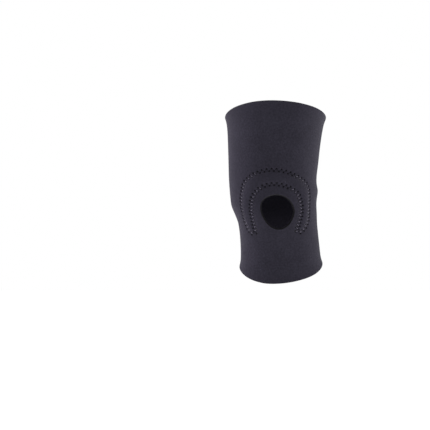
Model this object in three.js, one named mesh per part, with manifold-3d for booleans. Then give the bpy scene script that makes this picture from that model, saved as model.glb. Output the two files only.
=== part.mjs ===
import * as THREE from "three";
import { mergeVertices } from "three/addons/utils/BufferGeometryUtils.js";
import Module from "manifold-3d";

// An open-kneecap sleeve for a left knee, in the shape that it has on the leg. Millimetres, +Z up the leg,
// -Y to the front, +X to the outer side of the leg. The origin is inside the knee, level with the kneecap.

// Hems: how far the front reaches, and how much the hem drops or climbs from there to the side and the back
const frontAbove = 152;
const frontBelow = 98;
const thighSideDrop = 21.2;
const thighBackDrop = 36;
const calfSideClimb = 24.4;
const calfBackClimb = 40;
const thighHemLean = -2.5; // the outer side of a hem is this much higher than its inner side
const calfHemLean = 7;
const hemFlare = 2;
const hemFlareReach = 9;

// Outside width and depth of the tube round the thigh, the knee and the calf
const thighWidth = 137;
const thighDepth = 140;
const kneeWidth = 116;
const kneeDepth = 115;
const calfWidth = 112;
const calfDepth = 110;

const wall = 3;

// The front swells over the kneecap
const kneecapRise = 3.5;
const kneecapSpread = 30;

// The opening is an egg, widest above its middle and fuller at its lower outer side
const openingWidth = 46.2;
const openingHeight = 48.5;
const openingShift = 0.4; // from the middle of the knee, towards the outer side
const openingSlant = 1.4; // the cut's inner edge lies this much further in than its outer edge

// The horseshoe pad inside the wall, round the top and the sides of the opening
const padSideMargin = 11.5; // from the opening's side to the pad's inner edge
const padTopMargin = 13.2;
const padTipDrop = 3.4; // the tips end this far below the opening
const padBand = 19.8; // width of the band over the top
const padSideBand = 13;
const padThickness = 6;
const padEdge = 2; // thickness where the stitches hold it down
const padGap = 0.9;
const padTilt = 2.3;
const padShift = -1.5; // from the middle of the knee, towards the outer side
const padSwell = 1.4; // how far the wall stands out over the widest part of the pad

const girths = {
  thigh: { width: thighWidth, depth: thighDepth },
  knee: { width: kneeWidth, depth: kneeDepth },
  calf: { width: calfWidth, depth: calfDepth },
};

// Sections of the tube from the calf up. reach is a share of frontBelow or, above the kneecap, of frontAbove.
// inner, outer, front and back are shares of the girth's width and depth. power is 2 for an ellipse.
const sections = [
  { reach: -1.0, of: "calf", inner: 0.432, outer: 0.586, front: 0.459, back: 0.536, power: 2.1 },
  { reach: -0.71, of: "calf", inner: 0.432, outer: 0.568, front: 0.477, back: 0.523, power: 2.1 },
  { reach: -0.49, of: "calf", inner: 0.434, outer: 0.549, front: 0.495, back: 0.505, power: 2.15 },
  { reach: -0.26, of: "knee", inner: 0.432, outer: 0.506, front: 0.5, back: 0.465, power: 2.25 },
  { reach: -0.14, of: "knee", inner: 0.45, outer: 0.496, front: 0.517, back: 0.461, power: 2.3 },
  { reach: -0.03, of: "knee", inner: 0.487, outer: 0.494, front: 0.53, back: 0.461, power: 2.3 },
  { reach: 0.053, of: "knee", inner: 0.528, outer: 0.491, front: 0.535, back: 0.47, power: 2.3 },
  { reach: 0.132, of: "knee", inner: 0.543, outer: 0.491, front: 0.54, back: 0.483, power: 2.3 },
  { reach: 0.316, of: "knee", inner: 0.562, outer: 0.493, front: 0.556, back: 0.513, power: 2.25 },
  { reach: 0.46, of: "thigh", inner: 0.48, outer: 0.438, front: 0.473, back: 0.442, power: 2.2 },
  { reach: 0.605, of: "thigh", inner: 0.485, outer: 0.455, front: 0.496, back: 0.461, power: 2.15 },
  { reach: 0.75, of: "thigh", inner: 0.491, outer: 0.48, front: 0.511, back: 0.471, power: 2.1 },
  { reach: 0.865, of: "thigh", inner: 0.501, outer: 0.501, front: 0.521, back: 0.479, power: 2.1 },
  { reach: 1.0, of: "thigh", inner: 0.504, outer: 0.501, front: 0.529, back: 0.471, power: 2.1 },
];

// The fold that runs from the outer side round to the back. around and span are in degrees from the front,
// height is a share of frontAbove, spread a share of kneeDepth, and rise a share of the wall.
const folds = [{ height: 0.184, around: 105, span: 30, spread: 0.055, rise: 0.62 }];

// One half of the horseshoe's middle line, from the tip to the top. across is a share of the half width, up a
// share of the arch's height, or of the tip's depth where it is negative, and band a share of the two bands.
const horseshoe = [
  { across: 0.785, up: -1.0, band: 0.36 },
  { across: 0.86, up: -0.83, band: 0.75 },
  { across: 0.945, up: -0.42, band: 0.95 },
  { across: 1.0, up: 0.09, band: 1.0 },
  { across: 0.99, up: 0.36, band: 1.15 },
  { across: 0.9, up: 0.62, band: 1.35 },
  { across: 0.62, up: 0.87, band: 1.5 },
  { across: 0.3, up: 0.972, band: 1.56 },
];

// The egg, seen from the front and clockwise from its top, as shares of its half width and half height
const egg = [
  { across: -0.04, up: 1.0 },
  { across: 0.45, up: 0.88 },
  { across: 0.83, up: 0.53 },
  { across: 1.0, up: 0.08 },
  { across: 0.9, up: -0.36 },
  { across: 0.6, up: -0.8 },
  { across: 0.1, up: -1.0 },
  { across: -0.4, up: -0.84 },
  { across: -0.78, up: -0.4 },
  { across: -0.97, up: 0.03 },
  { across: -0.99, up: 0.44 },
  { across: -0.77, up: 0.775 },
  { across: -0.42, up: 0.94 },
];

// Steps of the faceted surface
const columns = 64;
const rows = 34;
const openingSteps = 40;
const padSteps = 52;
const padAcross = 6;

const wasm = await Module();
wasm.setup();

const clamp01 = (t) => Math.min(1, Math.max(0, t));
const radians = THREE.MathUtils.degToRad;
const bell = (t) => Math.exp(-0.5 * t * t);

const sectionHeights = sections.map(({ reach }) => reach * (reach < 0 ? frontBelow : frontAbove));
const sectionSizes = sections.flatMap(({ of, inner, outer, front, back, power }) => {
  const { width, depth } = girths[of];
  return [inner * width, outer * width, front * depth, back * depth, power];
});
const sectionAt = new THREE.CubicInterpolant(sectionHeights, sectionSizes, 5, new Array(5));

// A point of the plain leg-shaped tube. The angle runs from the front, 0, towards the outer side.
function tubePoint(angle, z) {
  const [inner, outer, front, back, power] = sectionAt.evaluate(z);
  const s = Math.sin(angle);
  const c = Math.cos(angle);
  const across = Math.sign(s) * Math.abs(s) ** (2 / power);
  const along = Math.sign(c) * Math.abs(c) ** (2 / power);
  return new THREE.Vector3(across * (s < 0 ? inner : outer), -along * (c < 0 ? back : front), z);
}

function tubeNormal(angle, z) {
  const turn = 0.02;
  const lift = 0.5;
  const round = tubePoint(angle + turn, z).sub(tubePoint(angle - turn, z));
  const up = tubePoint(angle, z + lift).sub(tubePoint(angle, z - lift));
  return round.cross(up).normalize();
}

// The angle at which the front of the tube has this x
function angleAt(x, z) {
  const [inner, outer, , , power] = sectionAt.evaluate(z);
  const share = Math.min(1, Math.abs(x) / (x < 0 ? inner : outer));
  return Math.sign(x) * Math.asin(share ** (power / 2));
}

// A hem's change of height from the front to the side and the back
function hemChange(angle, side, back) {
  const t = (1 - Math.cos(angle)) / 2;
  return t * (4 * side - back) + t * t * (2 * back - 4 * side);
}

const hemLean = (angle, lean) => (lean / 2) * Math.sin(angle);
const thighHem = (angle) =>
  frontAbove - hemChange(angle, thighSideDrop, thighBackDrop) + hemLean(angle, thighHemLean);
const calfHem = (angle) =>
  hemChange(angle, calfSideClimb, calfBackClimb) + hemLean(angle, calfHemLean) - frontBelow;

// The horseshoe's middle line, seen from the front, with the half width of its band as the third number
function horseshoeLine() {
  const halfWidth = openingWidth / 2 + padSideMargin + padSideBand / 2;
  const archHeight = openingHeight / 2 + padTopMargin + padBand / 2;
  const tipDepth = openingHeight / 2 + padTipDrop;
  const topBand = horseshoe[horseshoe.length - 1].band;
  const half = horseshoe.map(({ across, up, band }) => {
    const t = clamp01((band - 1) / (topBand - 1));
    const width = t ? padSideBand + t * (padBand - padSideBand) : band * padSideBand;
    return [across * halfWidth, up * (up < 0 ? tipDepth : archHeight), width / 2];
  });
  const points = half.map(([x, z, w]) => new THREE.Vector3(-x, z, w));
  points.push(new THREE.Vector3(0, archHeight, padBand / 2));
  points.push(...half.reverse().map(([x, z, w]) => new THREE.Vector3(x, z, w)));
  const turn = radians(padTilt);
  for (const p of points) {
    p.set(
      p.x * Math.cos(turn) - p.y * Math.sin(turn) + padShift,
      p.x * Math.sin(turn) + p.y * Math.cos(turn),
      p.z,
    );
  }
  return new THREE.CatmullRomCurve3(points, false, "centripetal").getSpacedPoints(padSteps);
}

const padLine = horseshoeLine();

// How far the wall stands out over the pad at a point of the front view: most on the middle line of the band,
// nothing at its edges, and less where the band is narrow
function overPad(x, z) {
  let most = 0;
  for (const p of padLine) {
    const across = Math.hypot(p.x - x, p.y - z) / p.z;
    most = Math.max(most, (p.z / (padBand / 2)) * (1 - clamp01(across) ** 2) ** 2);
  }
  return padSwell * most;
}

// How far the wall stands out from the plain tube
function swell(angle, point) {
  const { x, z } = point;
  const atFront = Math.cos(angle) > 0;
  const kneecap = atFront ? kneecapRise * bell(Math.hypot(x, z) / kneecapSpread) : 0;
  const pad = atFront ? overPad(x, z) : 0;
  const toHem = Math.min(thighHem(angle) - z, z - calfHem(angle));
  const flare = hemFlare * clamp01(1 - toHem / hemFlareReach) ** 2;
  let fold = 0;
  for (const { height, around, span, spread, rise } of folds) {
    const turned = (THREE.MathUtils.radToDeg(angle) - around) / span;
    fold += rise * wall * bell((z - height * frontAbove) / (spread * kneeDepth)) * bell(turned);
  }
  return kneecap + pad + flare + fold;
}

// A point this deep under the outer face of the wall
function wallPoint(angle, z, depth) {
  const point = tubePoint(angle, z);
  return point.addScaledVector(tubeNormal(angle, z), swell(angle, point) - depth);
}

// Rings of points, each joined to the next, as a closed mesh: a ring of rings, or a bar with two ends
function loft(rings, closed) {
  const size = rings[0].length;
  const points = rings.flat();
  const faces = [];
  const spans = closed ? rings.length : rings.length - 1;
  for (let i = 0; i < spans; i++) {
    const a = i * size;
    const b = ((i + 1) % rings.length) * size;
    for (let j = 0; j < size; j++) {
      const k = (j + 1) % size;
      faces.push(a + j, b + j, b + k, a + j, b + k, a + k);
    }
  }
  if (!closed) {
    const last = (rings.length - 1) * size;
    const middles = [rings[0], rings[rings.length - 1]].map((ring) => {
      const middle = new THREE.Vector3();
      ring.forEach((p) => middle.addScaledVector(p, 1 / size));
      return points.push(middle) - 1;
    });
    for (let j = 0; j < size; j++) {
      const k = (j + 1) % size;
      faces.push(middles[0], j, k, middles[1], last + k, last + j);
    }
  }
  return facedOut(new THREE.BufferGeometry().setFromPoints(points).setIndex(faces));
}

// The same mesh with its faces pointing out
function facedOut(geometry) {
  const place = geometry.getAttribute("position");
  const index = geometry.getIndex().array;
  const corner = [0, 1, 2].map(() => new THREE.Vector3());
  let volume = 0;
  for (let i = 0; i < index.length; i += 3) {
    corner.forEach((c, k) => c.fromBufferAttribute(place, index[i + k]));
    volume += corner[0].dot(corner[1].clone().cross(corner[2]));
  }
  if (volume < 0) {
    for (let i = 0; i < index.length; i += 3) [index[i + 1], index[i + 2]] = [index[i + 2], index[i + 1]];
  }
  return geometry;
}

function solidOf(geometry) {
  const merged = mergeVertices(geometry);
  return new wasm.Manifold(
    new wasm.Mesh({
      numProp: 3,
      vertProperties: merged.getAttribute("position").array,
      triVerts: new Uint32Array(merged.getIndex().array),
    }),
  );
}

function geometryOf(solid) {
  const { vertProperties, triVerts } = solid.getMesh();
  const geometry = new THREE.BufferGeometry();
  geometry.setAttribute("position", new THREE.BufferAttribute(vertProperties, 3));
  geometry.setIndex(new THREE.BufferAttribute(triVerts, 1));
  return geometry;
}

// The tube: one ring of points round the wall's section for each column, hem to hem outside and back inside.
// Columns crowd to the front and rows to the kneecap, where the small forms are.
function tube() {
  const crowdFront = 0.5;
  const crowdRows = 0.55;
  const level = frontBelow / (frontAbove + frontBelow);
  const shares = [];
  for (let i = 0; i <= rows; i++) {
    const u = i / rows;
    const shift = (t) => (crowdRows / (2 * Math.PI)) * Math.sin(2 * Math.PI * (t - level));
    shares.push(u - shift(u) + shift(0));
  }
  const rings = [];
  for (let i = 0; i < columns; i++) {
    const u = (i / columns) * 2 * Math.PI;
    const angle = u - crowdFront * Math.sin(u);
    const low = calfHem(angle);
    const high = thighHem(angle);
    const heights = shares.map((share) => low + share * (high - low));
    const outside = heights.map((z) => wallPoint(angle, z, 0));
    const inside = heights.map((z) => wallPoint(angle, z, wall));
    rings.push([...outside, ...inside.reverse()]);
  }
  return loft(rings, true);
}

// The plug that cuts the kneecap opening through the wall, a little narrower towards the leg
function openingPlug() {
  const reach = openingWidth / 4; // the plug's flat ends lie this far off, clear of the rounded front
  const corners = egg.map(({ across, up }) => new THREE.Vector3(across, up, 0));
  const outline = new THREE.CatmullRomCurve3(corners, true, "centripetal").getSpacedPoints(openingSteps);
  outline.pop();
  const rings = [-reach, 0, wall, wall + reach].map((depth) => {
    const inset = (openingSlant * depth) / wall;
    return outline.map((share) => {
      const x = openingShift + share.x * (openingWidth / 2 - inset);
      const z = share.y * (openingHeight / 2 - inset);
      return wallPoint(angleAt(x, z), z, depth);
    });
  });
  return loft(rings, false);
}

// The pad: a flat-backed, crowned section carried along the horseshoe, thin at its edges and tips
function pad() {
  const top = padGap + wall;
  const rings = padLine.map((p, i) => {
    const before = padLine[Math.max(0, i - 1)];
    const after = padLine[Math.min(padLine.length - 1, i + 1)];
    const across = new THREE.Vector2(after.y - before.y, before.x - after.x).normalize();
    const back = [];
    const crown = [];
    for (let j = 0; j <= padAcross; j++) {
      const u = (2 * j) / padAcross - 1;
      const x = p.x + across.x * u * p.z;
      const z = p.y + across.y * u * p.z;
      const fullness = (1 - u ** 4) * clamp01(p.z / (padSideBand / 2));
      const angle = angleAt(x, z);
      back.push(wallPoint(angle, z, top));
      crown.push(wallPoint(angle, z, top + padEdge + fullness * (padThickness - padEdge)));
    }
    return [...back, ...crown.reverse()];
  });
  return loft(rings, false);
}

function piece(name, geometry, look) {
  const shaded = geometry.toNonIndexed();
  shaded.computeVertexNormals();
  const mesh = new THREE.Mesh(shaded, new THREE.MeshStandardMaterial(look));
  mesh.name = name;
  return mesh;
}

const knit = { color: 0x2d2b32, roughness: 0.85, metalness: 0 };
const foam = { color: 0x232227, roughness: 0.9, metalness: 0 };

const sleeve = new THREE.Group();
sleeve.add(piece("sleeve", geometryOf(solidOf(tube()).subtract(solidOf(openingPlug()))), knit));
sleeve.add(piece("kneecap_pad", pad(), foam));

export default sleeve;
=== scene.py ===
import math

import bpy
import numpy as np
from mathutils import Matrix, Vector
from mathutils.bvhtree import BVHTree


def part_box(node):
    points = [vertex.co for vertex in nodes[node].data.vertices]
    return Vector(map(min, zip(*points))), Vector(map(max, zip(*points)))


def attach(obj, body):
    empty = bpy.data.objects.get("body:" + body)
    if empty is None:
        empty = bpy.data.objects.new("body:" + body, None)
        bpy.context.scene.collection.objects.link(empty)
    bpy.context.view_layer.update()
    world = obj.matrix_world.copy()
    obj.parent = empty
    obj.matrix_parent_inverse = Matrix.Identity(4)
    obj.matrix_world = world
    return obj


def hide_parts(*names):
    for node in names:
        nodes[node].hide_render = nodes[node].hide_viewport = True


# A pull-on knee sleeve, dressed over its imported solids. Metres, +Z up, -Y to the front.

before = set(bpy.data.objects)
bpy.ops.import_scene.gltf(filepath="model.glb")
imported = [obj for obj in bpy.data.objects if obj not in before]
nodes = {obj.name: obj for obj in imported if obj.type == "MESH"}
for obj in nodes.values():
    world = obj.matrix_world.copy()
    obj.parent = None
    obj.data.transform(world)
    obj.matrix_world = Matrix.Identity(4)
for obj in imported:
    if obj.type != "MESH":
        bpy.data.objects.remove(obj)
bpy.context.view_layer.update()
mm = 0.001
print("frame loaded")

bpy.ops.object.select_all(action="DESELECT")


# The smooth outer face, read off the faceted solid: a table of distances from the middle line

tubeShape = {
    "turns": 360,
    "levels": 180,
    "frontBlur": 2.6 * mm,  # evens out the facets, which are small at the front
    "backBlur": 6 * mm,
    "kneeBlur": 1.9 * mm,
    "calfBlur": 6 * mm,
    "thighBlur": 6.5 * mm,
    "hemBlur": 3.5 * mm,
    "kneeReach": (-32 * mm, 48 * mm),
    "hemReach": 20 * mm,
    "rayStart": 0.2,
    "thighSearch": (0.06, 0.17),
    "calfSearch": (-0.03, -0.12),
    "facing": 0.7,  # a face that turns away more than this is a cut edge
    "halvings": 16,  # of a search for an edge
    "blurSpan": 3,  # the blur is cut off at this many of its widths
    "patchTurn": math.radians(50),
    "patchHeight": 45 * mm,
    "patchOrder": 5,
    "patchRounds": 600,
    "spareLevels": 2,  # carried straight on past each hem
    "probeTurn": 0.012,  # to each side, for the direction that the face looks in
    "probeLift": 0.7 * mm,
    "angleRounds": 12,
    "sineLimit": 0.99,
}


def treeOf(node):
    points = [node.matrix_world @ v.co for v in node.data.vertices]
    return BVHTree.FromPolygons(points, [list(p.vertices) for p in node.data.polygons])


def solidRadius(tree, angle, z):
    out = Vector((math.sin(angle), -math.cos(angle), 0))
    start = out * tubeShape["rayStart"] + Vector((0, 0, z))
    place, normal, _, _ = tree.ray_cast(start, -out, tubeShape["rayStart"])
    if place is None or normal.dot(out) < tubeShape["facing"]:
        return math.nan
    return place.dot(out)


def hemHeight(tree, angle, search):
    inside, outside = search
    for _ in range(tubeShape["halvings"]):
        middle = (inside + outside) / 2
        if math.isnan(solidRadius(tree, angle, middle)):
            outside = middle
        else:
            inside = middle
    return inside


# Each row is a Gaussian mean, of the width given for that place, in steps
def blurMatrix(widths, closed):
    count = len(widths)
    matrix = np.zeros((count, count))
    for i, width in enumerate(widths):
        reach = int(tubeShape["blurSpan"] * width) + 1
        steps = np.arange(-reach, reach + 1)
        weights = np.exp(-0.5 * (steps / width) ** 2)
        weights /= weights.sum()
        for j, weight in zip(i + steps, weights):
            if closed:
                matrix[i, j % count] += weight
            elif 0 <= j < count:
                matrix[i, j] += weight
            else:
                end = 0 if j < 0 else count - 1
                matrix[i, end] += 2 * weight
                matrix[i, 2 * end - j] -= weight
    return matrix


# The opening's place in the table is bridged smoothly, so that the blur can run over its rim
def bridgeOpening(radius, angles, heights):
    turned = (angles + math.pi) % (2 * math.pi) - math.pi
    a = np.repeat(turned[:, None], radius.shape[1], 1) / tubeShape["patchTurn"]
    b = heights / tubeShape["patchHeight"]
    order = tubeShape["patchOrder"]
    terms = np.stack([a**i * b**j for i in range(order) for j in range(order - i)], -1)
    missing = np.isnan(radius)
    near = (abs(a) < 1) & (abs(b) < 1) & ~missing
    shares = np.linalg.lstsq(terms[near], radius[near], rcond=None)[0]
    rest = np.where(missing, 0, radius - terms @ shares)
    for _ in range(tubeShape["patchRounds"]):
        mean = np.roll(rest, 1, 0) + np.roll(rest, -1, 0) + np.roll(rest, 1, 1) + np.roll(rest, -1, 1)
        rest[missing] = mean[missing] / 4
    return rest + terms @ shares


def sampleTube(node):
    tree = treeOf(node)
    turns = tubeShape["turns"]
    levels = tubeShape["levels"]
    angles = np.arange(turns) * 2 * math.pi / turns
    top = np.array([hemHeight(tree, a, tubeShape["thighSearch"]) for a in angles])
    bottom = np.array([hemHeight(tree, a, tubeShape["calfSearch"]) for a in angles])
    heights = np.linspace(bottom, top, levels, axis=1)
    radius = np.array([[solidRadius(tree, a, z) for z in row] for a, row in zip(angles, heights)])
    hole = (abs(heights) < tubeShape["patchHeight"]) & (np.cos(angles)[:, None] > 0)
    for row, inHole in zip(radius, hole):
        known = ~np.isnan(row)
        ends = ~known & ~inHole
        row[ends] = np.interp(np.flatnonzero(ends), np.flatnonzero(known), row[known])
    radius = bridgeOpening(radius, angles, heights)
    step = 2 * math.pi * np.nanmean(radius) / turns
    rise = (top - bottom).mean() / levels
    back = (1 - np.cos(angles)) / 2
    across = blurMatrix((tubeShape["frontBlur"] * (1 - back) + tubeShape["backBlur"] * back) / step, True)
    level = heights.mean(0)
    kneeLow, kneeHigh = tubeShape["kneeReach"]
    hemReach = tubeShape["hemReach"]
    stops = [
        (level[0], "hemBlur"),
        (level[0] + hemReach, "calfBlur"),
        (kneeLow, "kneeBlur"),
        (kneeHigh, "kneeBlur"),
        (kneeHigh + hemReach, "thighBlur"),
        (level[-1] - hemReach, "thighBlur"),
        (level[-1], "hemBlur"),
    ]
    upward = np.interp(level, [z for z, _ in stops], [tubeShape[name] for _, name in stops])
    radius = across @ radius @ blurMatrix(upward / rise, False).T
    spareBelow = [3 * radius[:, :1] - 2 * radius[:, 1:2], 2 * radius[:, :1] - radius[:, 1:2]]
    spareAbove = [2 * radius[:, -1:] - radius[:, -2:-1], 3 * radius[:, -1:] - 2 * radius[:, -2:-1]]
    tubeShape["radius"] = np.concatenate([*spareBelow, radius, *spareAbove], 1)
    tubeShape["top"] = across @ top
    tubeShape["bottom"] = across @ bottom


# What each of four neighbours gives to a smooth curve, at the share t from the second to the third
def cubicShares(t):
    return (
        (-(t**3) + 2 * t**2 - t) / 2,
        (3 * t**3 - 5 * t**2 + 2) / 2,
        (-3 * t**3 + 4 * t**2 + t) / 2,
        (t**3 - t**2) / 2,
    )


def roundTable(values, angle):
    place = np.asarray(angle) / (2 * math.pi) * len(values)
    first = np.floor(place).astype(int)
    return sum(w * values[(first + k - 1) % len(values)] for k, w in enumerate(cubicShares(place - first)))


def radiusAt(angle, z):
    table = tubeShape["radius"]
    low = roundTable(tubeShape["bottom"], angle)
    high = roundTable(tubeShape["top"], angle)
    level = (z - low) / (high - low) * (tubeShape["levels"] - 1) + tubeShape["spareLevels"]
    level = np.clip(level, 1, table.shape[1] - 2.001)  # all four neighbours stay in the table
    turn = np.asarray(angle) / (2 * math.pi) * len(table)
    firstTurn = np.floor(turn).astype(int)
    firstLevel = np.floor(level).astype(int)
    total = 0
    for i, across in enumerate(cubicShares(turn - firstTurn)):
        column = (firstTurn + i - 1) % len(table)
        for j, upward in enumerate(cubicShares(level - firstLevel)):
            total = total + across * upward * table[column, firstLevel + j - 1]
    return total


def tubePoint(angle, z):
    radius = radiusAt(angle, z)
    return np.stack([radius * np.sin(angle), -radius * np.cos(angle), z + 0 * radius], -1)


def unit(vectors):
    return vectors / np.linalg.norm(vectors, axis=-1, keepdims=True)


def tubeNormal(angle, z):
    turn = tubeShape["probeTurn"]
    lift = tubeShape["probeLift"]
    around = tubePoint(angle + turn, z) - tubePoint(angle - turn, z)
    up = tubePoint(angle, z + lift) - tubePoint(angle, z - lift)
    return unit(np.cross(around, up))


# The angle at which the front has this x
def angleAt(x, z):
    angle = np.asarray(x) * 0
    limit = tubeShape["sineLimit"]
    for _ in range(tubeShape["angleRounds"]):
        angle = np.arcsin(np.clip(x / radiusAt(angle, z), -limit, limit))
    return angle


sampleTube(nodes["sleeve"])
print("outer face read")


# The rim of the opening, read off the solid: its distance from the middle in each direction of the front view

opening = {
    "middle": (0.4 * mm, -0.25 * mm),
    "directions": 96,
    "search": (10 * mm, 32 * mm),
    "harmonics": 8,
    "slant": 1.4 * mm,  # the cut goes this much further in at the back of the wall
}


def sampleOpening(node):
    tree = treeOf(node)
    found = []
    for turn in np.arange(opening["directions"]) * 2 * math.pi / opening["directions"]:
        openAt, wallAt = opening["search"]
        for _ in range(tubeShape["halvings"]):
            reach = (openAt + wallAt) / 2
            x = opening["middle"][0] + reach * math.cos(turn)
            z = opening["middle"][1] + reach * math.sin(turn)
            start = Vector((x, -tubeShape["rayStart"], z))
            hit, normal, _, _ = tree.ray_cast(start, Vector((0, 1, 0)), tubeShape["rayStart"])
            if hit is None or normal.dot(Vector((hit.x, hit.y, 0)).normalized()) < tubeShape["facing"]:
                openAt = reach
            else:
                wallAt = reach
        found.append(wallAt)
    waves = np.fft.rfft(found)
    waves[opening["harmonics"] + 1:] = 0
    opening["reach"] = np.fft.irfft(waves, len(found))


def rimPoint(turn, inset):
    reach = roundTable(opening["reach"], turn) - inset
    x = opening["middle"][0] + reach * np.cos(turn)
    z = opening["middle"][1] + reach * np.sin(turn)
    return angleAt(x, z), z


sampleOpening(nodes["sleeve"])
print("opening read")


# The stitch rows. The cloth is stretched round the tube and shortened along it, so a zigzag that was sewn
# evenly has long, narrow steps where its row runs across, and short, wide ones where it runs up.

stitching = {
    "stretchRound": 1.28,
    "shrinkUp": 0.88,
    "pitch": 5.3 * mm,  # on the flat cloth, from one needle hole to the next on the same side
    "halfWidth": 1.9 * mm,  # on the flat cloth too, as far as the needle holes lie from the middle
    "step": 0.4 * mm,  # from point to point of a row
    "splineSteps": 24,  # between two points that are given
    "seamInset": 0.5 * mm,  # the back seam stops short of the hems
    "channelDepth": 0.4 * mm,
    "channelHalf": 2.0 * mm,
    "bandCrown": 0.5 * mm,  # the pad's band stands out between its rows
    "bandReach": 2.6 * mm,
    "slope": 0.25 * mm,  # the wall sinks towards the rows
    "slopeReach": 3.5 * mm,
    "foldHeight": 30 * mm,  # the fold that shows at the outer edge, and the dip under it
    "foldRise": 0.7 * mm,
    "foldSpread": 4 * mm,
    "dipHeight": 10 * mm,
    "dipRise": -0.5 * mm,
    "dipSpread": 9 * mm,
    "foldTurn": math.radians(105),
    "foldSpan": math.radians(28),
    "seamDepth": 0.5 * mm,
    "seamHalf": 1.2 * mm,
    "dimpleDepth": 0.7 * mm,  # the cloth sinks round each needle hole
    "dimpleReach": 1.15 * mm,
    "far": 30 * mm,
    "batch": 1500,  # points that are compared with a row at once
}

# The row round the pad, from its left tip over the arch and back, as shares of the pad's box from the front
padRow = [
    (0.155, 0.0), (0.10, 0.06), (0.055, 0.16), (0.02, 0.29), (-0.004, 0.43), (-0.009, 0.57),
    (0.01, 0.70), (0.04, 0.80), (0.11, 0.874), (0.205, 0.938), (0.33, 0.98), (0.475, 0.993),
    (0.625, 0.97), (0.75, 0.924), (0.86, 0.868), (0.95, 0.796), (0.996, 0.70), (1.008, 0.57),
    (1.005, 0.42), (0.998, 0.27), (0.975, 0.15), (0.925, 0.068), (0.872, 0.022), (0.825, 0.035),
    (0.83, 0.09), (0.853, 0.19), (0.88, 0.31), (0.884, 0.43), (0.864, 0.53), (0.83, 0.62),
    (0.755, 0.69), (0.62, 0.748), (0.48, 0.772), (0.35, 0.752), (0.24, 0.69), (0.175, 0.60),
    (0.14, 0.49), (0.137, 0.37), (0.155, 0.24), (0.18, 0.13), (0.196, 0.05), (0.195, 0.0),
]


def smoothLoop(points, step):
    points = np.array(points)
    fine = []
    for i in range(len(points)):
        four = [points[(i + k - 1) % len(points)] for k in range(4)]
        t = np.linspace(0, 1, stitching["splineSteps"], endpoint=False)[:, None]
        fine.append(sum(w * p for w, p in zip(cubicShares(t), four)))
    fine = np.concatenate([*fine, fine[0][:1]])
    travelled = np.concatenate([[0], np.cumsum(np.linalg.norm(np.diff(fine, axis=0), axis=1))])
    places = np.linspace(0, travelled[-1], int(travelled[-1] / step), endpoint=False)
    return np.stack([np.interp(places, travelled, fine[:, k]) for k in range(2)], 1)


# A row's points on the plain face, its frames, and how far along the flat cloth it has come, in pitches
def rowAlong(angle, z, closed):
    points = tubePoint(angle, z)
    normals = tubeNormal(angle, z)
    if closed:
        ahead = np.roll(points, -1, 0) - np.roll(points, 1, 0)
    else:
        ahead = np.gradient(points, axis=0)
    ahead = unit(ahead)
    steps = np.diff(np.concatenate([points, points[:1]]), axis=0)
    flatRound = np.linalg.norm(steps[:, :2], axis=1) / stitching["stretchRound"]
    flatUp = steps[:, 2] / stitching["shrinkUp"]
    lengths = np.hypot(flatRound, flatUp)
    if not closed:
        lengths = lengths[:-1]
    along = np.concatenate([[0], np.cumsum(lengths)])
    pitches = max(1, round(along[-1] / stitching["pitch"]))
    along *= pitches / along[-1]
    inward = -np.cross(normals, ahead)
    widthRound = np.linalg.norm(inward[:, :2], axis=1) * stitching["stretchRound"]
    widthUp = inward[:, 2] * stitching["shrinkUp"]
    return {
        "points": points,
        "normals": normals,
        "ahead": ahead,
        "inward": inward,
        "widening": np.hypot(widthRound, widthUp),
        "along": along,
        "pitches": pitches,
        "closed": closed,
    }


def layRows():
    low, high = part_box("kneecap_pad")
    shares = smoothLoop(padRow, stitching["step"] / (high[0] - low[0]))
    x = low[0] + shares[:, 0] * (high[0] - low[0])
    z = low[2] + shares[:, 1] * (high[2] - low[2])
    stitching["padRow"] = rowAlong(angleAt(x, z), z, True)
    first = roundTable(tubeShape["bottom"], math.pi) + stitching["seamInset"]
    last = roundTable(tubeShape["top"], math.pi) - stitching["seamInset"]
    z = np.arange(first, last, stitching["step"])
    stitching["backSeam"] = rowAlong(np.full(len(z), math.pi), z, False)


# For points of the plain face: how far along the nearest row each is, how far to its side, and how much wider
# the row is there than on the flat cloth
def nearestRow(points):
    along = np.zeros(len(points))
    widening = np.ones(len(points))
    aside = np.full(len(points), stitching["far"])
    for name in ("padRow", "backSeam"):
        row = stitching[name]
        places = row["points"]
        low = places.min(0) - stitching["far"]
        high = places.max(0) + stitching["far"]
        near = np.flatnonzero(((points > low) & (points < high)).all(1))
        for part in np.array_split(near, len(near) // stitching["batch"] + 1):
            gaps = ((points[part][:, None] - places[None]) ** 2).sum(2)
            best = gaps.argmin(1)
            offset = points[part] - places[best]
            onward = (offset * row["ahead"][best]).sum(1)
            sideways = (offset * row["inward"][best]).sum(1)
            distance = np.sqrt(np.maximum(gaps[np.arange(len(part)), best] - onward**2, 0))
            closer = distance < abs(aside[part])
            pace = np.gradient(row["along"][: len(places)]) / stitching["step"]
            along[part] = np.where(closer, row["along"][best] + onward * pace[best], along[part])
            aside[part] = np.where(closer, np.where(sideways > 0, distance, -distance), aside[part])
            widening[part] = np.where(closer, row["widening"][best], widening[part])
    return along, aside, widening


# How far along the row and to the side each point lies from its nearest needle hole, on the flat cloth
def fromHole(along, flatAside):
    phase = (along + np.where(flatAside < 0, 0.5, 0)) % 1 - 0.5
    return phase * stitching["pitch"], abs(flatAside) - stitching["halfWidth"]


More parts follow.
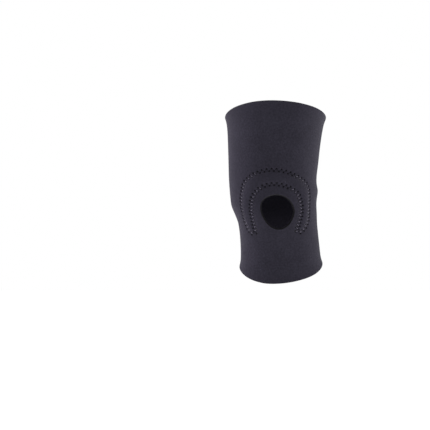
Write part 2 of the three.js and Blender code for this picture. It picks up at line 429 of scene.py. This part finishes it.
# How far the cloth stands out from the plain face: rows, pad band, needle holes, back seam, fold and dip
def relief(points, along, aside, widening):
    distance = abs(aside)
    front = points[:, 1] < 0
    channel = np.exp(-((distance / widening / stitching["channelHalf"]) ** 4))
    height = -stitching["channelDepth"] * channel
    height -= stitching["slope"] * np.exp(-distance / stitching["slopeReach"])
    crown = stitching["bandCrown"] * (1 - np.exp(-distance / stitching["bandReach"]))
    height += np.where(aside > 0, crown, 0)
    seam = -stitching["seamDepth"] * np.exp(-((distance / stitching["seamHalf"]) ** 2))
    height = np.where(front, height, seam)
    onward, sideways = fromHole(along, aside / widening)
    height -= stitching["dimpleDepth"] * np.exp(-(onward**2 + sideways**2) / stitching["dimpleReach"] ** 2)
    height = np.where(distance < stitching["far"], height, 0)
    turn = np.arctan2(points[:, 0], -points[:, 1])
    around = np.exp(-0.5 * ((turn - stitching["foldTurn"]) / stitching["foldSpan"]) ** 2)
    for name in ("fold", "dip"):
        offset = (points[:, 2] - stitching[name + "Height"]) / stitching[name + "Spread"]
        height += stitching[name + "Rise"] * np.exp(-0.5 * offset**2) * around
    return height


layRows()
print("stitch rows laid:", stitching["padRow"]["pitches"], "and", stitching["backSeam"]["pitches"], "pitches")


# The sleeve: a cut sheet of foam rubber with a knit face on both sides

sleeveCut = {
    "wall": 3 * mm,
    "fineTurn": 61.6,  # degrees to each side of the front
    "fineColumns": 154,
    "sideColumns": 36,
    "seamTurn": 8,  # and of the back seam
    "seamColumns": 16,
    "fineHeights": (-40 * mm, 64 * mm),
    "fineRows": 116,
    "thighRows": 36,
    "calfRows": 24,
    "blockTurn": 36,  # the rings round the opening fill this part of the front
    "blockHeights": (-34 * mm, 34 * mm),
    "rings": 20,
    "ringCrowd": 1.2,
    # Where the cut hems leave the solid's: middle and spread in degrees, and rise
    "thighTrim": (11, 28.5, -1.95 * mm),
    "calfTrim": (62, 18, -1.2 * mm),
    "knitShare": 0.13,  # of the wall, for each knit face
    "rimShare": 0.06,  # where a cut edge's round corner ends
    "foamStep": 0.04,  # from the knit down to the foam
    "knitProud": 0.12 * mm,
    "foamSunk": 0.14 * mm,
    "smoothAngle": 38,
}


def columnAngles():
    fine = np.linspace(-sleeveCut["fineTurn"], sleeveCut["fineTurn"], sleeveCut["fineColumns"] + 1)
    seamStart = 180 - sleeveCut["seamTurn"]
    side = np.linspace(sleeveCut["fineTurn"], seamStart, sleeveCut["sideColumns"] + 1)[1:]
    seam = np.linspace(seamStart, 180 + sleeveCut["seamTurn"], sleeveCut["seamColumns"] + 1)[1:]
    other = 360 - side[::-1][1:]
    return np.radians(np.concatenate([fine, side, seam, other]))


def hemTrim(angles, trim):
    middle, spread, rise = trim
    away = (np.degrees(angles) - middle + 180) % 360 - 180
    return rise * np.exp(-0.5 * (away / spread) ** 2)


def rowHeights(angles):
    low = (roundTable(tubeShape["bottom"], angles) + hemTrim(angles, sleeveCut["calfTrim"]))[:, None]
    high = (roundTable(tubeShape["top"], angles) + hemTrim(angles, sleeveCut["thighTrim"]))[:, None]
    first, last = sleeveCut["fineHeights"]
    calf = low + (first - low) * np.linspace(0, 1, sleeveCut["calfRows"] + 1)[:-1]
    fine = np.repeat(np.linspace(first, last, sleeveCut["fineRows"] + 1)[None], len(angles), 0)
    thigh = last + (high - last) * np.linspace(0, 1, sleeveCut["thighRows"] + 1)[1:]
    return np.concatenate([calf, fine, thigh], 1)


# The grid's loop round the opening, from its lower left corner on, anticlockwise in the front view
def blockLoop(angles, heights):
    turn = math.radians(sleeveCut["blockTurn"])
    i0 = int(abs(angles + turn).argmin())
    i1 = int(abs(angles - turn).argmin())
    j0, j1 = [int(abs(heights[0] - z).argmin()) for z in sleeveCut["blockHeights"]]
    loop = [(i, j0) for i in range(i0, i1)] + [(i1, j) for j in range(j0, j1)]
    loop += [(i, j1) for i in range(i1, i0, -1)] + [(i0, j) for j in range(j1, j0, -1)]
    return (i0, i1, j0, j1), np.array(loop)


def ringPlaces(angles, heights, loop, inset):
    outerAngle = angles[loop[:, 0]]
    outerZ = heights[loop[:, 0], loop[:, 1]]
    x = tubePoint(outerAngle, outerZ)[:, 0]
    turn = np.arctan2(outerZ - opening["middle"][1], x - opening["middle"][0]) % (2 * math.pi)
    rimAngle, rimZ = rimPoint(turn, inset)
    shares = np.linspace(0, 1, sleeveCut["rings"] + 1)[:-1, None] ** sleeveCut["ringCrowd"]
    ringAngle = rimAngle + (outerAngle - rimAngle) * shares
    ringZ = rimZ + (outerZ - rimZ) * shares
    return ringAngle.ravel(), ringZ.ravel()


def quads(a, b, c, d):
    return np.stack([a, b, c, d], -1).reshape(-1, 4)


def unwrap(values, period):
    return values - np.round((values - values[:, :1]) / period) * period


def sleeveMesh():
    angles = columnAngles()
    heights = rowHeights(angles)
    (i0, i1, j0, j1), loop = blockLoop(angles, heights)
    columns, rows = heights.shape
    kept = np.ones((columns, rows), bool)
    kept[i0 + 1:i1, j0 + 1:j1] = False
    number = np.full((columns, rows), -1)
    number[kept] = np.arange(kept.sum())
    gridAngle = np.repeat(angles[:, None], rows, 1)[kept]
    gridZ = heights[kept]
    ringSize = len(loop)
    rings = sleeveCut["rings"]
    ringNumber = kept.sum() + np.arange(rings * ringSize).reshape(rings, ringSize)
    ringNumber = np.concatenate([ringNumber, number[loop[:, 0], loop[:, 1]][None]])

    def layer(inset):
        ringAngle, ringZ = ringPlaces(angles, heights, loop, inset)
        return np.concatenate([gridAngle, ringAngle]), np.concatenate([gridZ, ringZ])

    outAngle, outZ = layer(0)
    inAngle, inZ = layer(opening["slant"])
    plain = tubePoint(outAngle, outZ)
    along, aside, widening = nearestRow(plain)
    outer = plain + tubeNormal(outAngle, outZ) * relief(plain, along, aside, widening)[:, None]
    inner = tubePoint(inAngle, inZ) - tubeNormal(inAngle, inZ) * sleeveCut["wall"]

    i = np.arange(columns)[:, None]
    j = np.arange(rows - 1)[None]
    onward = (i + 1) % columns
    outside = (i >= i0) & (i < i1) & (j >= j0) & (j < j1)
    corners = number[i, j], number[onward, j], number[onward, j + 1], number[i, j + 1]
    grid = quads(*[c[~outside] for c in corners])
    beside = np.roll(ringNumber, -1, 1)
    ring = quads(ringNumber[:-1], ringNumber[1:], beside[1:], beside[:-1])
    face = np.concatenate([grid, ring])
    size = len(outer)

    points = [outer, inner]
    faces = [face, face[:, ::-1] + size]
    looks = [np.zeros(len(face) * 2, int)]
    rimAngles = []
    total = 2 * size
    edges = [
        (number[:, -1], number[:, -2]),  # the thigh hem
        (number[::-1, 0], number[::-1, 1]),  # the calf hem
        (ringNumber[0], ringNumber[1]),  # the opening
    ]
    knitShare = sleeveCut["knitShare"]
    shares = [sleeveCut["rimShare"], knitShare, knitShare + sleeveCut["foamStep"], 0.5]
    shares += [1 - s for s in shares[2::-1]]
    proud = sleeveCut["knitProud"]
    sunk = -sleeveCut["foamSunk"]
    bulge = [proud, proud, sunk, sunk / 2, sunk, proud, proud]
    for edge, inward in edges:
        away = unit(unit(outer[edge] - outer[inward]) + unit(inner[edge] - inner[inward]))
        strips = [edge]
        for share, stand in zip(shares, bulge):
            points.append(outer[edge] * (1 - share) + inner[edge] * share + away * stand)
            rimAngles.append((outAngle[edge], outZ[edge]))
            strips.append(total + np.arange(len(edge)))
            total += len(edge)
        strips.append(edge + size)
        for k in range(len(strips) - 1):
            a = strips[k]
            b = strips[k + 1]
            faces.append(quads(a, np.roll(a, -1), np.roll(b, -1), b))
            foam = 2 <= k < len(strips) - 3
            looks.append(np.full(len(edge), 1 if foam else 0))
    points = np.concatenate(points)
    faces = np.concatenate(faces)
    looks = np.concatenate(looks)

    angle = np.concatenate([outAngle, inAngle, *[a for a, _ in rimAngles]])
    z = np.concatenate([outZ, inZ, *[b for _, b in rimAngles]])
    girth = 2 * math.pi * np.nanmean(tubeShape["radius"]) / stitching["stretchRound"] / mm
    clothX = angle / (2 * math.pi) * girth
    clothY = z / stitching["shrinkUp"] / mm
    farOff = np.full(len(points) - size, stitching["far"])
    rowX = np.concatenate([along, 0 * farOff])
    rowY = np.concatenate([aside / widening, farOff]) / mm

    mesh = bpy.data.meshes.new("knitSleeve")
    mesh.from_pydata(points.tolist(), [], faces.tolist())
    cloth = mesh.uv_layers.new(name="cloth")
    cloth.data.foreach_set("uv", np.stack([unwrap(clothX[faces], girth), clothY[faces]], -1).ravel())
    stitch = mesh.uv_layers.new(name="stitch")
    turns = stitching["padRow"]["pitches"]
    stitch.data.foreach_set("uv", np.stack([unwrap(rowX[faces], turns), rowY[faces]], -1).ravel())
    mesh.polygons.foreach_set("material_index", looks)
    mesh.update()
    return mesh


def place(mesh, name):
    obj = bpy.data.objects.new(name, mesh)
    bpy.context.scene.collection.objects.link(obj)
    return obj


def selectOnly(obj):
    bpy.ops.object.select_all(action="DESELECT")
    obj.select_set(True)
    bpy.context.view_layer.objects.active = obj


def smoothByAngle(obj, degrees):
    selectOnly(obj)
    bpy.ops.object.shade_smooth_by_angle(angle=math.radians(degrees))
    bpy.ops.object.select_all(action="DESELECT")


knitSleeve = place(sleeveMesh(), "knitSleeve")
smoothByAngle(knitSleeve, sleeveCut["smoothAngle"])
print("sleeve made:", len(knitSleeve.data.polygons), "faces")


# The zigzag threads lie in the rows' channels and dive into the needle holes

thread = {
    "radius": 0.38 * mm,
    "sides": 6,
    "along": [0, 0.14, 0.3, 0.5, 0.7, 0.86, 1],
    # Height over the cloth in millimetres, from a stitch's outer end on. Every other stitch is loose where
    # its row runs up, and the rest are pulled in.
    "looseLift": [-0.9, -0.7, -0.15, 0.4, 0.6, 0.3, -0.7],
    "tightLift": [-0.9, -0.45, -0.22, -0.15, -0.22, -0.45, -0.9],
    "slackShare": 1.6,
    "pressedBelow": 0.25,  # a stitch with less slack than this lies pressed into the cloth, and is matt and darker: painted shade
    "twist": 9,  # turns of the yarn along one stitch
    "rayLift": 5 * mm,  # the cloth is looked for from this far above the plain face
    "rayReach": 12 * mm,
    "smoothAngle": 70,
}


# The point this many pitches along a row and this far to its side on the flat cloth, and the face's direction
def rowPlace(row, along, flatAside):
    count = len(row["points"])
    if row["closed"]:
        along = along % row["pitches"]
        table = np.concatenate([row["along"][:count], [row["pitches"]]])
        numbers = np.arange(count + 1)
    else:
        table = row["along"]
        numbers = np.arange(count)
    at = np.interp(along, table, numbers)
    first = int(at)
    share = at - first
    second = (first + 1) % count if row["closed"] else min(first + 1, count - 1)

    def between(name):
        return row[name][first] * (1 - share) + row[name][second] * share

    aside = flatAside * between("widening")
    return between("points") + between("inward") * aside, unit(between("normals"))


# How loose a stitch is. The light catches those that lean from the outer side up towards the opening: they
# are the loose ones, the more so the steeper their row. Up the back it is every other stitch.
def slackOf(row, number):
    at = int(np.searchsorted(row["along"], (number + 0.5) / 2)) % len(row["points"])
    rise = row["ahead"][at][2]
    across = row["inward"][at] * (-1 if number % 2 else 1)
    if row["closed"]:
        leansIn = across @ (row["points"][at] * (1, 0, 1)) < 0
        loose = leansIn == (rise > 0)
    else:
        loose = number % 2 == 0
    return min(1, rise**2 * thread["slackShare"]) if loose else 0


def stitchCurve(tree, start, end, normal, slack):
    lifts = np.array(thread["looseLift"]) * slack + np.array(thread["tightLift"]) * (1 - slack)
    curve = []
    for share, lift in zip(thread["along"], lifts):
        flat = start * (1 - share) + end * share
        above = Vector(flat + normal * thread["rayLift"])
        hit, _, _, _ = tree.ray_cast(above, Vector(-normal), thread["rayReach"])
        ground = np.array(hit) if hit else flat
        curve.append(ground + normal * lift * mm)
    return np.array(curve)


def yarnTube(curve, normal):
    ahead = unit(np.gradient(curve, axis=0))
    side = unit(np.cross(ahead, normal))
    up = np.cross(side, ahead)
    turns = np.arange(thread["sides"]) * 2 * math.pi / thread["sides"]
    ring = np.cos(turns)[:, None, None] * side + np.sin(turns)[:, None, None] * up
    return (curve[None] + thread["radius"] * ring).transpose(1, 0, 2).reshape(-1, 3)


def sewRow(name, row, tree):
    points = []
    faces = []
    wraps = []
    looks = []
    sides = thread["sides"]
    count = len(thread["along"])
    holes = 2 * row["pitches"]
    for k in range(holes):
        a, normalA = rowPlace(row, k / 2, stitching["halfWidth"] * (1 if k % 2 else -1))
        b, normalB = rowPlace(row, (k + 1) / 2, stitching["halfWidth"] * (-1 if k % 2 else 1))
        normal = unit(normalA + normalB)
        if np.hypot(*a[::2]) < np.hypot(*b[::2]):  # it starts at its outer end
            a, b = b, a
        slack = slackOf(row, k)
        first = len(points)
        points += yarnTube(stitchCurve(tree, a, b, normal, slack), normal).tolist()
        for i in range(count - 1):
            for j in range(sides):
                m = (j + 1) % sides
                low = first + i * sides
                faces.append((low + j, low + m, low + sides + m, low + sides + j))
                v = (j / sides, (j + 1) / sides)
                u = (thread["along"][i], thread["along"][i + 1])
                wraps += [(u[0], v[0]), (u[0], v[1]), (u[1], v[1]), (u[1], v[0])]
        faces.append(tuple(first + j for j in reversed(range(sides))))
        faces.append(tuple(first + (count - 1) * sides + j for j in range(sides)))
        wraps += [(0, 0)] * sides + [(1, 0)] * sides
        # Pressed stitches take the darker copy of the thread, painted shade; the rest take the lighter copy,
        # painted highlight
        looks += [1 if slack < thread["pressedBelow"] else 0] * (len(faces) - len(looks))
    mesh = bpy.data.meshes.new(name)
    mesh.from_pydata(points, [], faces)
    yarn = mesh.uv_layers.new(name="yarn")
    yarn.data.foreach_set("uv", np.array(wraps).ravel())
    mesh.polygons.foreach_set("material_index", looks)
    obj = place(mesh, name)
    smoothByAngle(obj, thread["smoothAngle"])
    return obj


sleeveTree = treeOf(knitSleeve)
padStitches = sewRow("padStitches", stitching["padRow"], sleeveTree)
seamStitches = sewRow("seamStitches", stitching["backSeam"], sleeveTree)
print("stitches sewn")


# The horseshoe pad behind the front wall: the CAD solid's facets melted into soft foam edges

padFoam = {
    "merge": 0.01 * mm,
    "voxel": 1.1 * mm,
    "smoothing": 6,
    "softness": 0.5,
    "fill": 0.9,
}


def padMesh(node):
    obj = node.copy()
    obj.data = node.data.copy()
    obj.name = "horseshoePad"
    obj.data.name = "horseshoePad"
    bpy.context.scene.collection.objects.link(obj)
    selectOnly(obj)
    bpy.ops.object.mode_set(mode="EDIT")
    bpy.ops.mesh.select_all(action="SELECT")
    bpy.ops.mesh.remove_doubles(threshold=padFoam["merge"])
    bpy.ops.object.mode_set(mode="OBJECT")
    remesh = obj.modifiers.new("melt", "REMESH")
    remesh.mode = "VOXEL"
    remesh.voxel_size = padFoam["voxel"]
    soften = obj.modifiers.new("soften", "SMOOTH")
    soften.factor = padFoam["softness"]
    soften.iterations = padFoam["smoothing"]
    for modifier in (remesh, soften):
        bpy.ops.object.modifier_apply(modifier=modifier.name)
    bpy.ops.object.shade_smooth()
    bpy.ops.object.select_all(action="DESELECT")
    return obj


horseshoePad = padMesh(nodes["kneecap_pad"])
print("pad made:", len(horseshoePad.data.polygons), "faces")


# Materials

def newMaterial(name):
    material = bpy.data.materials.new(name)
    material.use_nodes = True
    return material, material.node_tree, material.node_tree.nodes["Principled BSDF"]


def link(tree, value, socket):
    if isinstance(value, bpy.types.NodeSocket):
        tree.links.new(value, socket)
    else:
        socket.default_value = value


def calc(tree, operation, *values):
    node = tree.nodes.new("ShaderNodeMath")
    node.operation = operation
    for value, socket in zip(values, node.inputs):
        link(tree, value, socket)
    return node.outputs[0]


def ramp(tree, value, low, high, start, end):
    node = tree.nodes.new("ShaderNodeMapRange")
    node.interpolation_type = "SMOOTHSTEP"
    for name, number in (("From Min", low), ("From Max", high), ("To Min", start), ("To Max", end)):
        node.inputs[name].default_value = number
    link(tree, value, node.inputs["Value"])
    return node.outputs["Result"]


# A value from 0 to 1 becomes one from low to low + rise
def spread(tree, value, levels):
    low, rise = levels
    return calc(tree, "MULTIPLY_ADD", value, rise, low)


def noise(tree, coordinates, scale, detail, roughness=0.5):
    node = tree.nodes.new("ShaderNodeTexNoise")
    node.inputs["Scale"].default_value = scale
    node.inputs["Detail"].default_value = detail
    node.inputs["Roughness"].default_value = roughness
    tree.links.new(coordinates, node.inputs["Vector"])
    return node.outputs["Fac"]


def mapped(tree, name):
    uv = tree.nodes.new("ShaderNodeUVMap")
    uv.uv_map = name
    split = tree.nodes.new("ShaderNodeSeparateXYZ")
    tree.links.new(uv.outputs["UV"], split.inputs[0])
    return split.outputs["X"], split.outputs["Y"]


def objectPlace(tree):
    return tree.nodes.new("ShaderNodeTexCoord").outputs["Object"]


def tinted(tree, colour, factor):
    node = tree.nodes.new("ShaderNodeMix")
    node.data_type = "RGBA"
    node.blend_type = "MULTIPLY"
    node.inputs["Factor"].default_value = 1
    node.inputs[6].default_value = (*colour, 1)
    grey = tree.nodes.new("ShaderNodeCombineColor")
    for socket in grey.inputs:
        tree.links.new(factor, socket)
    tree.links.new(grey.outputs[0], node.inputs[7])
    return node.outputs[2]


def bumped(tree, shader, height, distance, strength):
    node = tree.nodes.new("ShaderNodeBump")
    node.inputs["Distance"].default_value = distance
    node.inputs["Strength"].default_value = strength
    tree.links.new(height, node.inputs["Height"])
    tree.links.new(node.outputs["Normal"], shader.inputs["Normal"])


knitLoop = {
    "slant": 0.55,  # of a loop's two sides, in courses
    "levels": (0.7, 0.3),  # middle and swing
    "roundness": 3,
}


# Rows of interlocked loops, as a height from 0 to 1, for coordinates in millimetres
def knitHeight(tree, x, y, wale, course):
    across = calc(tree, "SUBTRACT", calc(tree, "FRACT", calc(tree, "DIVIDE", x, wale)), 0.5)
    across = calc(tree, "MULTIPLY", calc(tree, "ABSOLUTE", across), 2)
    slant = calc(tree, "MULTIPLY", across, knitLoop["slant"])
    slanted = calc(tree, "ADD", calc(tree, "DIVIDE", y, course), slant)
    loops = calc(tree, "SINE", calc(tree, "MULTIPLY", slanted, 2 * math.pi))
    loops = spread(tree, loops, knitLoop["levels"])
    ridge = calc(tree, "SUBTRACT", 1, calc(tree, "POWER", across, knitLoop["roundness"]))
    return calc(tree, "MULTIPLY", loops, ridge)


knitLook = {
    "colour": (0.0298, 0.0278, 0.0398),
    "wale": 0.62,  # a loop's width and height in millimetres
    "course": 0.5,
    "mottleNoise": (420, 3),  # scale and detail
    "mottle": (0.55, 0.9),  # lowest value and rise, as in all such pairs
    "cloudNoise": (34, 2),
    "cloud": (0.8, 0.4),
    "loopShade": (0.82, 0.3),
    "roughNoise": (700, 2),
    "roughness": (0.62, 0.2),
    "fuzzNoise": (1500, 3, 0.6),
    "fuzz": 0.05,  # millimetres high, as the loops are
    "loopHeight": 0.07,
    "bump": 0.7,
    "sheen": 0.1,
    "sheenRoughness": 0.4,
    "sheenTint": (0.8, 0.78, 0.9, 1),
    "specular": 0.06,
    "lintCells": 75,  # specks of lint that cling to the cloth
    "lintCore": 0.016,
    "lintEdge": 0.034,
    "lintBright": 2.6,
    "holeSquash": 1.25,  # a hole is this much shorter along its row than across
    "holeCore": 1.0,  # millimetres from its middle, darkened all over by painted shade
    "holeEdge": 1.6,
    "holeDepth": 0.9 * mm,
    # How much the colour darkens at a needle hole: painted shade in the pit, with a little of the black foam
    # showing through
    "holePaintedShade": 0.78,
}


# One where a needle hole is, nothing away from it. It sinks the bump and darkens the colour as painted shade.
def needleHoles(tree):
    along, aside = mapped(tree, "stitch")
    other = calc(tree, "MULTIPLY", calc(tree, "LESS_THAN", aside, 0), 0.5)
    phase = calc(tree, "SUBTRACT", calc(tree, "FRACT", calc(tree, "ADD", along, other)), 0.5)
    onward = calc(tree, "MULTIPLY", phase, stitching["pitch"] / mm * knitLook["holeSquash"])
    sideways = calc(tree, "SUBTRACT", calc(tree, "ABSOLUTE", aside), stitching["halfWidth"] / mm)
    square = calc(tree, "ADD", calc(tree, "POWER", onward, 2), calc(tree, "POWER", sideways, 2))
    return ramp(tree, calc(tree, "SQRT", square), knitLook["holeCore"], knitLook["holeEdge"], 1, 0)


def knitMaterial():
    material, tree, shader = newMaterial("charcoalKnit")
    x, y = mapped(tree, "cloth")
    knit = knitHeight(tree, x, y, knitLook["wale"], knitLook["course"])
    hole = needleHoles(tree)
    spot = objectPlace(tree)
    mottle = spread(tree, noise(tree, spot, *knitLook["mottleNoise"]), knitLook["mottle"])
    cloud = spread(tree, noise(tree, spot, *knitLook["cloudNoise"]), knitLook["cloud"])
    depth = spread(tree, knit, knitLook["loopShade"])
    shade = calc(tree, "MULTIPLY", calc(tree, "MULTIPLY", mottle, cloud), depth)
    cells = tree.nodes.new("ShaderNodeTexVoronoi")
    cells.inputs["Scale"].default_value = knitLook["lintCells"]
    tree.links.new(spot, cells.inputs["Vector"])
    core, edge, bright = [knitLook[name] for name in ("lintCore", "lintEdge", "lintBright")]
    lint = ramp(tree, cells.outputs["Distance"], core, edge, bright, 0)
    shade = calc(tree, "MULTIPLY", shade, calc(tree, "ADD", lint, 1))
    # Painted shade: the colour darkens in and round each needle hole, partly the black foam showing through
    shade = calc(tree, "MULTIPLY", shade, spread(tree, hole, (1, -knitLook["holePaintedShade"])))
    tree.links.new(tinted(tree, knitLook["colour"], shade), shader.inputs["Base Color"])
    rough = spread(tree, noise(tree, spot, *knitLook["roughNoise"]), knitLook["roughness"])
    tree.links.new(rough, shader.inputs["Roughness"])
    fuzz = calc(tree, "MULTIPLY", noise(tree, spot, *knitLook["fuzzNoise"]), knitLook["fuzz"])
    height = calc(tree, "MULTIPLY_ADD", knit, knitLook["loopHeight"], fuzz)
    height = calc(tree, "MULTIPLY_ADD", hole, -knitLook["holeDepth"] / mm, height)
    bumped(tree, shader, height, mm, knitLook["bump"])
    shader.inputs["Specular IOR Level"].default_value = knitLook["specular"]
    shader.inputs["Sheen Weight"].default_value = knitLook["sheen"]
    shader.inputs["Sheen Roughness"].default_value = knitLook["sheenRoughness"]
    shader.inputs["Sheen Tint"].default_value = knitLook["sheenTint"]
    return material


foamLook = {
    "colour": (0.006, 0.006, 0.0065),
    "cells": 3200,
    "shade": (0.6, 0.9),
    "roughNoise": (900, 2),
    "roughness": (0.78, 0.15),
    "cellDepth": 0.12 * mm,
    "bump": 0.8,
    "specular": 0.25,
}


def foamMaterial():
    material, tree, shader = newMaterial("blackFoamEdge")
    spot = objectPlace(tree)
    cells = tree.nodes.new("ShaderNodeTexVoronoi")
    cells.inputs["Scale"].default_value = foamLook["cells"]
    tree.links.new(spot, cells.inputs["Vector"])
    shade = spread(tree, cells.outputs["Distance"], foamLook["shade"])
    tree.links.new(tinted(tree, foamLook["colour"], shade), shader.inputs["Base Color"])
    rough = spread(tree, noise(tree, spot, *foamLook["roughNoise"]), foamLook["roughness"])
    tree.links.new(rough, shader.inputs["Roughness"])
    bumped(tree, shader, cells.outputs["Distance"], foamLook["cellDepth"], foamLook["bump"])
    shader.inputs["Specular IOR Level"].default_value = foamLook["specular"]
    return material


yarnLook = {
    "plyShade": (0.72, 0.35),
    "plyDepth": 0.08 * mm,
    "bump": 0.6,
}

# Two copies of one thread: the loose one lighter, a painted highlight where the side light catches it, and
# the pressed one darker, painted shade
looseLitLook = {
    "colour": (0.125, 0.113, 0.147),
    "roughness": (0.38, -0.1),
    "specular": 0.9,
    "specularTint": (0.86, 0.82, 1, 1),
}

pressedShadedLook = {
    "colour": (0.015, 0.014, 0.019),
    "roughness": (0.75, -0.1),
    "specular": 0.12,
    "specularTint": (0.86, 0.82, 1, 1),
}


def threadMaterial(name, look):
    material, tree, shader = newMaterial(name)
    along, around = mapped(tree, "yarn")
    twist = calc(tree, "ADD", calc(tree, "MULTIPLY", along, thread["twist"]), around)
    ply = calc(tree, "SINE", calc(tree, "MULTIPLY", twist, 2 * math.pi))
    ply = spread(tree, ply, (0.5, 0.5))
    shade = spread(tree, ply, yarnLook["plyShade"])
    tree.links.new(tinted(tree, look["colour"], shade), shader.inputs["Base Color"])
    tree.links.new(spread(tree, ply, look["roughness"]), shader.inputs["Roughness"])
    bumped(tree, shader, ply, yarnLook["plyDepth"], yarnLook["bump"])
    shader.inputs["Specular IOR Level"].default_value = look["specular"]
    shader.inputs["Specular Tint"].default_value = look["specularTint"]
    return material


padLook = {
    "colour": (0.017, 0.0165, 0.019),
    "wale": 0.8,
    "course": 0.65,
    "mottleNoise": (240, 3),
    "mottle": (0.8, 0.4),
    "loopShade": (0.8, 0.35),
    "roughNoise": (800, 2),
    "roughness": (0.78, 0.15),
    "loopDepth": 0.08 * mm,
    "bump": 0.7,
    "sheen": 0.3,
    "specular": 0.3,
}


def padMaterial():
    material, tree, shader = newMaterial("blackPadKnit")
    spot = objectPlace(tree)
    split = tree.nodes.new("ShaderNodeSeparateXYZ")
    tree.links.new(spot, split.inputs[0])
    x = calc(tree, "MULTIPLY", split.outputs["X"], 1 / mm)
    z = calc(tree, "MULTIPLY", split.outputs["Z"], 1 / mm)
    knit = knitHeight(tree, x, z, padLook["wale"], padLook["course"])
    mottle = spread(tree, noise(tree, spot, *padLook["mottleNoise"]), padLook["mottle"])
    shade = calc(tree, "MULTIPLY", mottle, spread(tree, knit, padLook["loopShade"]))
    tree.links.new(tinted(tree, padLook["colour"], shade), shader.inputs["Base Color"])
    rough = spread(tree, noise(tree, spot, *padLook["roughNoise"]), padLook["roughness"])
    tree.links.new(rough, shader.inputs["Roughness"])
    bumped(tree, shader, knit, padLook["loopDepth"], padLook["bump"])
    shader.inputs["Sheen Weight"].default_value = padLook["sheen"]
    shader.inputs["Specular IOR Level"].default_value = padLook["specular"]
    return material


knitSleeve.data.materials.append(knitMaterial())
knitSleeve.data.materials.append(foamMaterial())
# The lit and the shaded copy of one thread: painted highlight and painted shade
looseLitThread = threadMaterial("charcoalLitThread", looseLitLook)
pressedShadedThread = threadMaterial("pressedShadedThread", pressedShadedLook)
for stitches in (padStitches, seamStitches):
    stitches.data.materials.append(looseLitThread)
    stitches.data.materials.append(pressedShadedThread)
horseshoePad.data.materials.clear()
horseshoePad.data.materials.append(padMaterial())
print("materials made")


# Each piece hangs on the root body, and the imported solids that they stand for are hidden

for piece in (knitSleeve, padStitches, seamStitches, horseshoePad):
    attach(piece, "root")
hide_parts("sleeve")
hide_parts("kneecap_pad")


# Floor, light and camera

studio = {
    "floorHeight": -0.45,
    "floorSize": 14,
    "floorColour": (0.86, 0.86, 0.86, 1),
    "floorRoughness": 0.9,
    "floorSpecular": 0.1,
    "floorGlow": 0.7,
    "backdrop": 1.0,  # what the camera sees
    "fill": 0.4,  # what lights the sleeve
    "softboxes": [
        {
            "name": "leftBox",
            "place": (-1.3, 0.35, 0.6),
            "size": (0.9, 1.6),
            "power": 17,
            "tint": (0.95, 0.87, 1),
        },
        {
            "name": "rightBox",
            "place": (1.3, 0.25, 0.35),
            "size": (0.9, 1.6),
            "power": 11.5,
            "tint": (1, 0.97, 1),
        },
    ],
    "cameraPlace": (-0.0846, -2.2, -0.00435),
    "viewWidth": 0.602,  # at the sleeve's middle
    "sensor": 36,
}


def makeFloor():
    bpy.ops.mesh.primitive_plane_add(size=studio["floorSize"], location=(0, 0, studio["floorHeight"]))
    floor = bpy.context.object
    floor.name = "floor"
    material, tree, shader = newMaterial("paleFloor")
    shader.inputs["Base Color"].default_value = studio["floorColour"]
    shader.inputs["Roughness"].default_value = studio["floorRoughness"]
    shader.inputs["Specular IOR Level"].default_value = studio["floorSpecular"]
    shader.inputs["Emission Color"].default_value = (1, 1, 1, 1)
    shader.inputs["Emission Strength"].default_value = studio["floorGlow"]
    floor.data.materials.append(material)


def makeLights():
    world = bpy.data.worlds.new("whiteStudio")
    world.use_nodes = True
    tree = world.node_tree
    background = tree.nodes["Background"]
    background.inputs["Color"].default_value = (1, 1, 1, 1)
    seen = tree.nodes.new("ShaderNodeLightPath").outputs["Is Camera Ray"]
    strength = calc(tree, "MULTIPLY_ADD", seen, studio["backdrop"] - studio["fill"], studio["fill"])
    tree.links.new(strength, background.inputs["Strength"])
    bpy.context.scene.world = world
    for box in studio["softboxes"]:
        data = bpy.data.lights.new(box["name"], "AREA")
        data.shape = "RECTANGLE"
        data.size, data.size_y = box["size"]
        data.energy = box["power"]
        data.color = box["tint"]
        light = bpy.data.objects.new(box["name"], data)
        light.location = box["place"]
        light.rotation_euler = Vector(box["place"]).to_track_quat("Z", "Y").to_euler()
        light.visible_camera = False
        bpy.context.scene.collection.objects.link(light)


def makeCamera():
    data = bpy.data.cameras.new("camera")
    data.sensor_width = studio["sensor"]
    data.lens = studio["sensor"] * -studio["cameraPlace"][1] / studio["viewWidth"]
    camera = bpy.data.objects.new("camera", data)
    camera.location = studio["cameraPlace"]
    camera.rotation_euler = (math.pi / 2, 0, 0)
    bpy.context.scene.collection.objects.link(camera)
    bpy.context.scene.camera = camera


makeFloor()
makeLights()
makeCamera()
bpy.context.scene.view_settings.view_transform = "Standard"
print("studio set")
